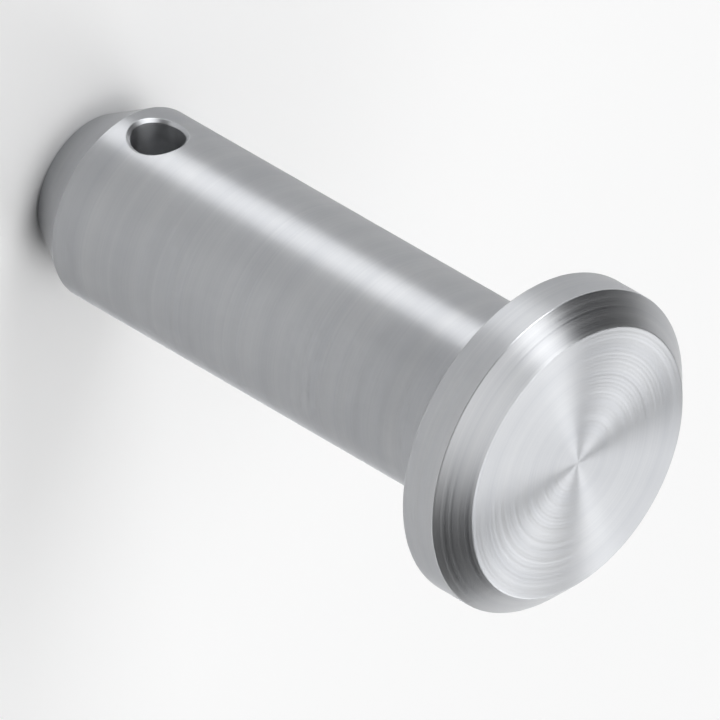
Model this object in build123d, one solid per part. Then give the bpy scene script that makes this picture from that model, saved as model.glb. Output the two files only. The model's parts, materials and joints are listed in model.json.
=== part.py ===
from build123d import *
from math import radians, tan
import os

# Clevis pin with head, drilled for a split pin: a turned steel pin of 12 mm with a
# chamfered flat head and a tapered point.  All sizes are in millimetres.
#
# The origin is at the centre of the head's underside, the face that seats against the
# clevis, and +Z runs along the pin's axis towards the head.  The shank reaches down to
# the point's end face, and the split pin's hole crosses it along Y.

# Head
head_diameter = 20.0
head_height = 4.0
head_chamfer = 1.6          # both legs of the 45 degree chamfer round the outer face
under_head_radius = 0.6     # blend from the shank into the head's underside

# Shank and point
shank_diameter = 12.0
shank_length = 35.0         # from the head's underside to the point's end face
point_length = 3.0          # of the tapered point, along the axis
point_angle = 30.0          # degrees between the point's flank and the axis

# Split pin's hole, square to the axis and right through the shank
hole_diameter = 3.2
hole_to_end = 5.5           # from the hole's axis to the point's end face

# Broken edges, so that no turned or drilled edge is knife sharp
edge_radius = 0.15          # where two turned faces meet
hole_edge_chamfer = 0.2     # round each mouth of the split pin's hole


def rounded(section, corners, radius):
    """The flat section with the corners at these points rounded."""
    for corner in corners:
        section = fillet(section.vertices().sort_by_distance(corner)[0], radius)
    return section


def half_section():
    """The pin's section from its axis outwards, on the XZ plane."""
    head_radius = head_diameter / 2
    shank_radius = shank_diameter / 2
    face_radius = head_radius - head_chamfer
    end_radius = shank_radius - point_length * tan(radians(point_angle))
    point_top = point_length - shank_length

    outer_face_centre = (0, 0, head_height)
    outer_face_rim = (face_radius, 0, head_height)
    chamfer_foot = (head_radius, 0, head_height - head_chamfer)
    underside_rim = (head_radius, 0, 0)
    shank_root = (shank_radius, 0, 0)
    point_shoulder = (shank_radius, 0, point_top)
    end_rim = (end_radius, 0, -shank_length)
    end_centre = (0, 0, -shank_length)

    outline = Polyline(
        outer_face_centre,
        outer_face_rim,
        chamfer_foot,
        underside_rim,
        shank_root,
        point_shoulder,
        end_rim,
        end_centre,
        close=True,
    )
    turned_edges = (outer_face_rim, chamfer_foot, underside_rim, point_shoulder, end_rim)
    section = rounded(make_face(outline), turned_edges, edge_radius)
    return rounded(section, (shank_root,), under_head_radius)


def clevis_pin():
    """The turned pin, cross drilled, with the edges of the hole broken."""
    turned = revolve(half_section(), Axis.Z)
    drill = Pos(0, 0, hole_to_end - shank_length) * Cylinder(
        hole_diameter / 2, shank_diameter + hole_diameter, rotation=(90, 0, 0)
    )
    drilled = turned - drill
    mouths = new_edges(turned, drill, combined=drilled).filter_by(GeomType.LINE, reverse=True)
    return chamfer(mouths, hole_edge_chamfer)


pin = clevis_pin()
pin.label = "clevis_pin"

os.makedirs("parts", exist_ok=True)
export_step(pin, "parts/clevis_pin.step")
print(f"clevis_pin: {pin.volume:.1f} mm3, {pin.bounding_box()}")
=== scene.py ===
import json
from itertools import accumulate
from math import asin, atan2, ceil, cos, pi, radians, sin, sqrt, tan

import bmesh
import bpy
from mathutils import Matrix, Vector


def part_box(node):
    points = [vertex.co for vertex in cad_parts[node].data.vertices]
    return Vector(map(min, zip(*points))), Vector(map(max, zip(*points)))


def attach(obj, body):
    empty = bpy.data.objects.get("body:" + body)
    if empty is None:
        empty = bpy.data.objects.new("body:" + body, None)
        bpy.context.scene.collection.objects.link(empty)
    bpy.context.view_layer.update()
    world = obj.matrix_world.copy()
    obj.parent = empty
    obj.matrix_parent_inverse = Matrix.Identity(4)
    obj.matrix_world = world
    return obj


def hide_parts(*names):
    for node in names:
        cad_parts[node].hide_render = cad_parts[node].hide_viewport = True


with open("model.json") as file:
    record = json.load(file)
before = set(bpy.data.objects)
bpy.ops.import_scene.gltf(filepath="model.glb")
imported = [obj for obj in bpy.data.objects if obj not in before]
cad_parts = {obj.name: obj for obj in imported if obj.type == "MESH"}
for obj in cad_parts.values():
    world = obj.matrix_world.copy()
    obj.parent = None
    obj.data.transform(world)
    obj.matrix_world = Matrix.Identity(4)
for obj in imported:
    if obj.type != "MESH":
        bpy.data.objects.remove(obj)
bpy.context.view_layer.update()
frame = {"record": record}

# The clevis pin stands on its point with the head up.  Everything is in metres, in the
# frame of the CAD part: +Z along the pin's axis, the origin at the centre of the head's
# underside, and the split pin's hole along Y.

MM = 0.001
MICROMETRE = MM / 1000

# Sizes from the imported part
mounts = {mount["name"]: mount for mount in frame["record"]["mounts"]}
low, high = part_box("clevis_pin")
head_radius = high.x
head_top = high.z
point_end = low.z
shank_radius = mounts["shank"]["dims"]["r_mm"] * MM
hole_radius = mounts["split_pin_hole"]["dims"]["r_mm"] * MM
hole_height = mounts["split_pin_hole"]["pos_m"][2]

# Sizes of the turned profile that only the part's source names
head_chamfer = 1.6 * MM
under_head_radius = 0.6 * MM
point_length = 3.0 * MM
point_angle = radians(30)
edge_radius = 0.15 * MM
hole_chamfer = 0.2 * MM

# Mesh of the pin
columns = 256               # round the axis
row_height = 1.0 * MM       # longest step along a straight stretch of the profile
arc_steps = 8               # along a rounded edge
support = 0.02 * MM         # from a rounded edge to the next point on the flat beside it
lip_radius = 0.06 * MM      # softens both edges of the chamfer round the hole
lip_steps = 5
window_columns = 18         # a hole mouth's window in the grid, in columns either side
window_rows = 30
window_rings = 6            # from the window's border to the mouth
window_half_height = 2.2 * MM
window_top = hole_height + window_half_height
window_foot = hole_height - window_half_height
wall_steps = 8              # from a mouth to the middle of the hole

# Map of the pin's surface for baking its materials: U runs round a surface's own axis and V
# across its rings, so that the highlights are stretched the right way in other programs.
# Its left half (0) has the head and above it the hole, and its right half (1) all the rest.
map_name = "OFBake"
map_height = 40.0 * MM      # of surface from the map's foot to its top
map_gap = 0.01              # left free round each half, as a share of the map
map_seam = 0.75             # turns from the first column to where the map's ends meet
hole_on_map = 20.0 * MM     # from the map's foot to the hole

# The pin's surfaces and how each was cut: roughness, how far the highlight stretches
# across the marks (0 to 1), depth of the uneven rings and of the feed's even ones in
# micrometres, and brightness of the metal, lowered in the hole as painted shade
finishes = {
    "turned": (0.38, 0.96, 1.5, 0.6, 0.84),
    "chamfered": (0.34, 0.70, 0.4, 0.0, 0.84),
    "ground": (0.41, 1.00, 1.0, 0.0, 0.92),
    "tapered": (0.21, 0.50, 0.4, 0.0, 0.76),
    # The hole's wall is a little darker than the turned steel: painted shade inside the hole,
    # along with the drilled finish's own tone
    "drilled": (0.40, 0.80, 2.0, 0.6, 0.80),
}
slots = list(finishes)
dark_steel = (0.57, 0.585, 0.615)
light_steel = (0.70, 0.71, 0.725)
ring_scale = 6.0            # uneven rings a millimetre
breaks = 0.015              # changes a millimetre in a ring on its way round
feed = 0.24                 # millimetres from one even ring to the next
roughness_swing = 0.05      # that the rings add to the roughness and take from it
quarter_turn = 0.25         # from the tangent to the way that the highlight stretches

# Noises that the tone is mixed from: scale, detail and roughness.  The scale of the rings
# and bands counts rings, and that of the clouds counts millimetres.
ring_noise = (1.0, 2.0, 0.55)
band_noise = (0.13, 2.0, 0.5)
cloud_noise = (0.16, 3.0, 0.55)
cloud_share = 0.45          # of the clouds in their mix with the bands
ring_share = 0.35           # of the rings in their mix with both
tone_range = (0.35, 0.65)   # of the mix, from dark steel to light steel
ring_range = (0.3, 0.7)     # of the rings' noise, from smooth to rough

# ------------------------------------------------------------------ the pin's mesh


def arc(before, corner, after, radius, steps):
    """Points of the arc that rounds a corner, tangent to the lines to its neighbours."""
    back = (before - corner).normalized()
    ahead = (after - corner).normalized()
    half_angle = back.angle(ahead) / 2
    setback = radius / tan(half_angle)
    centre = corner + (back + ahead).normalized() * (radius / sin(half_angle))
    start = (corner + back * setback - centre).normalized()
    end = (corner + ahead * setback - centre).normalized()
    return [centre + start.slerp(end, step / steps) * radius for step in range(steps + 1)]


def stretch(start, end, steps):
    """Points on a straight stretch without its ends: evenly spaced, and one by each end."""
    near = (end - start).normalized() * support
    inner = [start.lerp(end, step / steps) for step in range(1, steps)]
    return [start + near, *inner, end - near]


def pin_profile():
    """The half section as (radius, height) points, and the finish of the step to each."""
    end_radius = shank_radius - point_length * tan(point_angle)
    corners = [
        # radius, height, rounding, finish of the stretch that ends here
        (0, head_top, 0, "turned"),
        (head_radius - head_chamfer, head_top, edge_radius, "turned"),
        (head_radius, head_top - head_chamfer, edge_radius, "chamfered"),
        (head_radius, 0, edge_radius, "turned"),
        (shank_radius, 0, under_head_radius, "turned"),
        (shank_radius, window_top, 0, "ground"),
        (shank_radius, window_foot, 0, "ground"),
        (shank_radius, point_end + point_length, edge_radius, "ground"),
        (end_radius, point_end, edge_radius, "tapered"),
        (0, point_end, 0, "turned"),
    ]
    places = [Vector(corner[:2]) for corner in corners]
    profile = places[:1]
    steps_finish = ["turned"]
    for index in range(1, len(corners)):
        _, height, rounding, finish = corners[index]
        if rounding:
            turn = arc(*places[index - 1:index + 2], rounding, arc_steps)
        else:
            turn = [places[index]]
        if height == window_foot:
            steps = window_rows
        else:
            steps = ceil((turn[0] - profile[-1]).length / row_height)
        points = stretch(profile[-1], turn[0], steps) + turn
        profile += points
        steps_finish += [finish] * len(points)
    return profile, steps_finish


def half_strand(start):
    """Points from a window's border over the mouth's lip to the middle of the hole's wall."""
    across = shank_radius * atan2(start.x, -start.y)
    up = start.z - hole_height
    half_width = shank_radius * window_columns * 2 * pi / columns
    bearing = atan2(up / window_half_height, across / half_width)

    def on_shank(distance, rise):
        angle = distance / shank_radius
        return Vector((
            shank_radius * sin(angle), -shank_radius * cos(angle), hole_height + rise,
        ))

    mouth_radius = hole_radius + hole_chamfer
    mouth_across = shank_radius * asin(mouth_radius * cos(bearing) / shank_radius)
    mouth_up = mouth_radius * sin(bearing)
    surface = [
        on_shank(
            across + (mouth_across - across) * ring / window_rings,
            up + (mouth_up - up) * ring / window_rings,
        )
        for ring in range(window_rings)
    ]
    wall_x = hole_radius * cos(bearing)
    wall_z = hole_height + hole_radius * sin(bearing)
    wall_start = Vector((wall_x, hole_chamfer - sqrt(shank_radius ** 2 - wall_x ** 2), wall_z))
    wall_middle = Vector((wall_x, 0, wall_z))
    mouth = on_shank(mouth_across, mouth_up)
    outer_lip = arc(surface[-1], mouth, wall_start, lip_radius, lip_steps)
    inner_lip = arc(mouth, wall_start, wall_middle, lip_radius, lip_steps)
    return [
        *surface,
        *stretch(surface[-1], outer_lip[0], 1)[1:],
        *outer_lip,
        *stretch(outer_lip[-1], inner_lip[0], 2),
        *inner_lip,
        *stretch(inner_lip[-1], wall_middle, wall_steps)[:-1],
        wall_middle,
    ]


def travel_along(points):
    """How far each point lies from the first one, from point to point."""
    steps = [(end - start).length for start, end in zip(points, points[1:])]
    return list(accumulate(steps, initial=0))


def on_map(half, turns, distance):
    """Place in a half of the map, so many turns round and so far along."""
    clear = 1 - 2 * map_gap
    return (half + map_gap + clear * turns) / 2, map_gap + clear * distance / map_height


def pin_mesh():
    """One closed mesh: the turned grid, and the hole's strands from window to window."""
    profile, steps_finish = pin_profile()
    first_row = profile.index(Vector((shank_radius, window_top)))
    last_row = profile.index(Vector((shank_radius, window_foot)))
    shank_row = steps_finish.index("ground") - 1
    travel = travel_along(profile)
    mesh = bmesh.new()
    map_layer = mesh.loops.layers.uv.new(map_name)

    def add_face(corners, finish):
        """Adds a face, given each corner's vertex and its place on the map."""
        face = mesh.faces.new(list(corners))
        face.material_index = slots.index(finish)
        for loop in face.loops:
            loop[map_layer].uv = corners[loop.vert]

    angles = [2 * pi * column / columns for column in range(columns)]
    rings = []
    for radius, height in profile:
        if radius == 0:
            rings.append([mesh.verts.new((0, 0, height))] * columns)
        else:
            rings.append([
                mesh.verts.new((radius * sin(angle), -radius * cos(angle), height))
                for angle in angles
            ])

    # The turned grid, without the faces in the windows
    half_turn = columns // 2
    for row in range(len(rings) - 1):
        half = int(row >= shank_row)
        top, foot = (travel[end] - half * travel[shank_row] for end in (row, row + 1))
        for column in range(columns):
            beside = (column + window_columns) % half_turn
            if first_row <= row < last_row and beside < 2 * window_columns:
                continue
            following = (column + 1) % columns
            turns = (column / columns - map_seam) % 1
            next_turns = turns + 1 / columns
            corners = {
                rings[row][column]: on_map(half, turns, top),
                rings[row][following]: on_map(half, next_turns, top),
                rings[row + 1][following]: on_map(half, next_turns, foot),
                rings[row + 1][column]: on_map(half, turns, foot),
            }
            add_face(corners, steps_finish[row + 1])

    # A strand from each point of the near window's border, through the hole to the far one
    border = [(first_row, column) for column in range(-window_columns, window_columns)]
    border += [(row, window_columns) for row in range(first_row, last_row)]
    border += [(last_row, -column) for column in range(-window_columns, window_columns)]
    border += [(row, -window_columns) for row in range(last_row, first_row, -1)]
    strands = []
    for row, column in border:
        near = rings[row][column % columns]
        far = rings[row][(half_turn - column) % columns]
        points = half_strand(near.co)[1:]
        mirrored = [Vector((x, -y, z)) for x, y, z in reversed(points[:-1])]
        inner = [mesh.verts.new(point) for point in points + mirrored]
        strands.append([near, *inner, far])

    # The faces between strands: on the shank beside a mouth, or in the hole
    steps = len(strands[0]) - 1
    hole_travel = travel_along([vertex.co for vertex in strands[0]])
    hole_start = hole_on_map - hole_travel[window_rings]
    window_start = travel[first_row] - travel[shank_row]
    for index in range(len(strands)):
        for step in range(steps):
            on_surface = min(step, steps - 1 - step) < window_rings
            corners = {}
            for across, along in ((0, step), (0, step + 1), (1, step + 1), (1, step)):
                vertex = strands[(index + across) % len(strands)][along]
                if on_surface:
                    turns = (atan2(vertex.co.x, -vertex.co.y) / (2 * pi) - map_seam) % 1
                    distance = window_start + window_top - vertex.co.z
                    corners[vertex] = on_map(1, turns, distance)
                else:
                    turns = (index + across) / len(strands)
                    corners[vertex] = on_map(0, turns, hole_start + hole_travel[along])
            add_face(corners, "ground" if on_surface else "drilled")

    loose = [vertex for vertex in mesh.verts if not vertex.link_faces]
    bmesh.ops.delete(mesh, geom=loose, context="VERTS")
    bmesh.ops.recalc_face_normals(mesh, faces=mesh.faces)
    for face in mesh.faces:
        face.smooth = True
    data = bpy.data.meshes.new("turned_pin")
    mesh.to_mesh(data)
    mesh.free()
    return data


# ------------------------------------------------------------------ materials


class Nodes:
    """Adds nodes to a tree.  An input is given as a constant or as another node's output."""

    def __init__(self, tree):
        self.tree = tree
        tree.nodes.clear()

    def add(self, kind, inputs=None, output=0, **settings):
        node = self.tree.nodes.new("ShaderNode" + kind)
        for name, value in settings.items():
            setattr(node, name, value)
        for socket, value in (inputs or {}).items():
            if isinstance(value, bpy.types.NodeSocket):
                self.tree.links.new(value, node.inputs[socket])
            else:
                node.inputs[socket].default_value = value
        return node.outputs[output]

    def end(self, kind, surface):
        node = self.tree.nodes.new("ShaderNode" + kind)
        self.tree.links.new(surface, node.inputs["Surface"])

    def math(self, operation, *values):
        return self.add("Math", dict(enumerate(values)), operation=operation)

    def vector(self, operation, *values, output="Vector"):
        return self.add("VectorMath", dict(enumerate(values)), output, operation=operation)

    def noise(self, place, scale, detail, roughness):
        return self.add("TexNoise", {
            "Vector": place,
            "Scale": scale,
            "Detail": detail,
            "Roughness": roughness,
        })

    def remap(self, value, low, high, to_low, to_high):
        return self.add("MapRange", {
            "Value": value,
            "From Min": low,
            "From Max": high,
            "To Min": to_low,
            "To Max": to_high,
        })


def cut_steel(name):
    """Bright steel with the fine rings that cutting leaves round the axis of a surface."""
    roughness, across, ring_depth, feed_depth, brightness = finishes[name]
    if name == "drilled":
        origin, axis = (0, 0, hole_height), (0, 1, 0)
    else:
        origin, axis = (0, 0, 0), (0, 0, 1)
    material = bpy.data.materials.new(name + "_steel")
    material.use_nodes = True
    nodes = Nodes(material.node_tree)

    # Place in millimetres: how far along the axis, how far out, and round which way
    place = nodes.add("TexCoord", output="Object")
    place = nodes.vector("SUBTRACT", place, origin)
    place = nodes.vector("DIVIDE", place, (MM, MM, MM))
    along = nodes.vector("DOT_PRODUCT", place, axis, output="Value")
    around = nodes.vector("CROSS_PRODUCT", axis, place)
    radius = nodes.vector("LENGTH", around, output="Value")
    across_rings = nodes.math("SUBTRACT", along, radius)

    # Uneven rings that fade in and out on their way round, and slower changes of tone
    ringed = nodes.vector(
        "MULTIPLY_ADD",
        axis,
        nodes.math("MULTIPLY", across_rings, ring_scale),
        nodes.vector("MULTIPLY", around, (breaks, breaks, breaks)),
    )
    rings = nodes.noise(ringed, *ring_noise)
    bands = nodes.noise(ringed, *band_noise)
    clouds = nodes.noise(place, *cloud_noise)
    tone = nodes.add("Mix", {"Factor": cloud_share, "A": bands, "B": clouds}, "Result")
    tone = nodes.add("Mix", {"Factor": ring_share, "A": tone, "B": rings}, "Result")

    colour = nodes.add("MixRGB", {
        "Fac": nodes.remap(tone, *tone_range, 0, 1),
        "Color1": (*[part * brightness for part in dark_steel], 1),
        "Color2": (*[part * brightness for part in light_steel], 1),
    })
    wave = nodes.math("SINE", nodes.math("MULTIPLY", across_rings, 2 * pi / feed))
    depth = nodes.math("MULTIPLY", rings, ring_depth)
    depth = nodes.math("MULTIPLY_ADD", wave, feed_depth, depth)
    tangent = nodes.add("VectorTransform", {
        "Vector": nodes.vector("NORMALIZE", around),
    }, vector_type="VECTOR", convert_from="OBJECT", convert_to="WORLD")
    least, most = roughness - roughness_swing, roughness + roughness_swing
    shader = nodes.add("BsdfPrincipled", {
        "Base Color": colour,
        "Metallic": 1.0,
        "Roughness": nodes.remap(rings, *ring_range, least, most),
        "Anisotropic": across,
        "Anisotropic Rotation": quarter_turn,
        "Normal": nodes.add("Bump", {"Height": depth, "Distance": MICROMETRE}),
        "Tangent": tangent,
    })
    nodes.end("OutputMaterial", shader)
    return material


scene = bpy.context.scene
pin = bpy.data.objects.new("turned_pin", pin_mesh())
scene.collection.objects.link(pin)
for name in slots:
    pin.data.materials.append(cut_steel(name))
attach(pin, "root")
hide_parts("clevis_pin")

# ------------------------------------------------------------------ floor, light and camera

floor_reach = 4.0           # metres from the pin to each edge
floor_white = 0.97

floor_mesh = bpy.data.meshes.new("floor")
floor_mesh.from_pydata(
    [
        (-floor_reach, -floor_reach, point_end),
        (floor_reach, -floor_reach, point_end),
        (floor_reach, floor_reach, point_end),
        (-floor_reach, floor_reach, point_end),
    ],
    [],
    [(0, 1, 2, 3)],
)
paper = bpy.data.materials.new("floor_white")
paper.use_nodes = True
nodes = Nodes(paper.node_tree)
matte = nodes.add("BsdfDiffuse", {"Color": (floor_white, floor_white, floor_white, 1)})
nodes.end("OutputMaterial", matte)
floor_mesh.materials.append(paper)
floor = bpy.data.objects.new("floor", floor_mesh)
scene.collection.objects.link(floor)


def lamp(name, azimuth, elevation, spread, strength):
    """A far, broad, soft lamp; its direction is given by where it stands."""
    light = bpy.data.lights.new(name, "SUN")
    light.angle = radians(spread)
    light.energy = strength
    holder = bpy.data.objects.new(name, light)
    towards_lamp = Vector((
        cos(radians(elevation)) * cos(radians(azimuth)),
        cos(radians(elevation)) * sin(radians(azimuth)),
        sin(radians(elevation)),
    ))
    holder.rotation_euler = towards_lamp.to_track_quat("Z", "Y").to_euler()
    scene.collection.objects.link(holder)


lamp("key", azimuth=-106, elevation=22, spread=34, strength=1.25)
lamp("back", azimuth=122, elevation=30, spread=28, strength=0.62)

# The studio: dim walls under a broad bright ceiling that is dimmer overhead.  At the
# horizon it is as bright as the lit floor, so that no line shows between the two.
horizon_light = 0.942
wall_light = 0.03
ceiling_light = 2.17
overhead_light = -0.8       # added to the ceiling's

world = bpy.data.worlds.new("studio")
world.use_nodes = True
nodes = Nodes(world.node_tree)
heading = nodes.add("TexCoord", output="Generated")
rise = nodes.add("SeparateXYZ", {"Vector": heading}, "Z")


def fade(start, end, before, after):
    """Light that changes from one value to another between two elevations in degrees."""
    return nodes.remap(rise, sin(radians(start)), sin(radians(end)), before, after)


walls = fade(1, 7, horizon_light, wall_light)
ceiling = fade(50, 59, 0, ceiling_light)
overhead = fade(72, 80, 0, overhead_light)
light = nodes.math("ADD", nodes.math("ADD", walls, ceiling), overhead)
nodes.end("OutputWorld", nodes.add("Background", {"Color": light}))
scene.world = world

scene.view_settings.view_transform = "Standard"

# The camera looks at the pin along (1, -1, 1), as an isometric drawing does, and is rolled
# so that the pin's axis runs down to the right.  Its long lens leaves little perspective.
lens = 1500                 # and the sensor, in millimetres
sensor = 36
margin = 1.116              # picture's width over the pin's
rounds = 3                  # of centring the pin as the lens shows it
farthest = 10               # metres that the camera sees

towards = Vector((1, -1, 1)).normalized()
right = Vector((-1, 0, 1)).normalized()
upward = towards.cross(right)
points = [vertex.co for vertex in pin.data.vertices]
centre = Vector()
for direction in (towards, upward, right):
    spread = [point.dot(direction) for point in points]
    centre += direction * (max(spread) + min(spread)) / 2
distance = margin * (max(spread) - min(spread)) * lens / sensor
for _ in range(rounds):
    for direction in (upward, right):
        spread = [
            (point - centre).dot(direction) / (1 - (point - centre).dot(towards) / distance)
            for point in points
        ]
        centre += direction * (max(spread) + min(spread)) / 2
    distance = margin * (max(spread) - min(spread)) * lens / sensor

camera_data = bpy.data.cameras.new("camera")
camera_data.lens = lens
camera_data.sensor_width = sensor
camera_data.clip_end = farthest
camera = bpy.data.objects.new("camera", camera_data)
turn = Matrix((right, upward, towards)).transposed().to_4x4()
camera.matrix_world = Matrix.Translation(centre + towards * distance) @ turn
scene.collection.objects.link(camera)
scene.camera = camera
